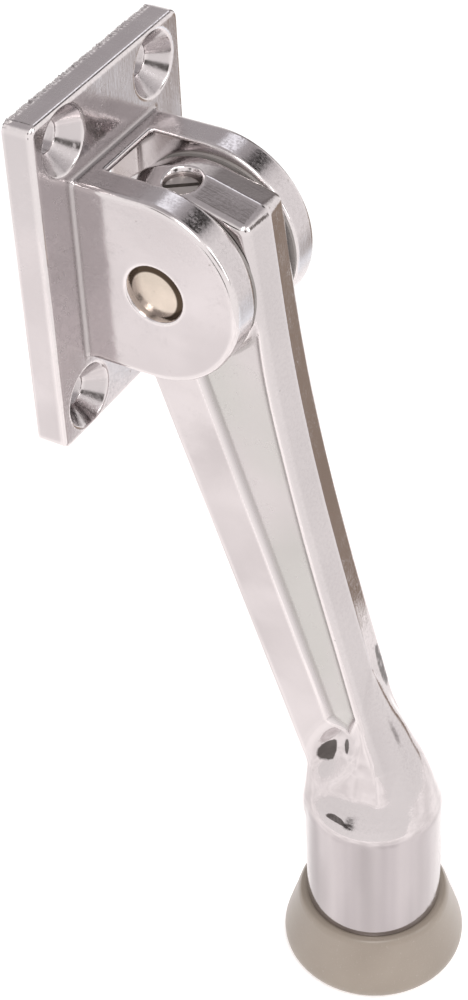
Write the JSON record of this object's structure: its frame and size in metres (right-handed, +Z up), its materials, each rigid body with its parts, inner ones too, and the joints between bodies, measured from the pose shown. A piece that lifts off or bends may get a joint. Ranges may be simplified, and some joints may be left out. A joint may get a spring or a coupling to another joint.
{
  "type": "floor door holder",
  "caption": "Kick-down door holder: a flat bracket with two ears, a swinging cast arm that parks upright, and a round rubber foot that grips the floor.",
  "frame": {"origin": "centre of the bracket's back face, in the door plane", "axes": "+Z up, +Y into the door, X along the pivot; the arm projects toward -Y"},
  "size_m": [0.035, 0.0573, 0.1498],
  "materials": {
    "chrome": "bright chrome plating over a zinc casting",
    "nickel_steel": "satin nickel-plated steel",
    "spring_steel": "bright drawn wire",
    "black_steel": "dark oxide",
    "washer_plastic": "matte acetal",
    "rubber": "matte moulded warm grey rubber"
  },
  "bodies": {
    "base": {"bracket": "chrome", "pivot_pin": "nickel_steel", "friction_washer_left": "washer_plastic", "friction_washer_right": "washer_plastic"},
    "arm": {"arm": "chrome", "tension_screw": "black_steel", "detent_spring": "spring_steel", "rubber_tip": "rubber"},
    "plunger": {"detent_plunger": "nickel_steel"}
  },
  "joints": [
    {"name": "arm_pivot", "type": "hinge", "parent": "base", "child": "arm", "pos_m": [0, -0.0162, 0], "axis": [-1, 0, 0], "range_deg": [-6, 150]},
    {"name": "detent_travel", "type": "slide", "parent": "arm", "child": "plunger", "axis": [0, 0, 1], "range_m": [0, 0.0005], "stiffness_N_per_m": 3000, "springref_m": -0.001, "deforming": ["detent_spring"]}
  ]
}
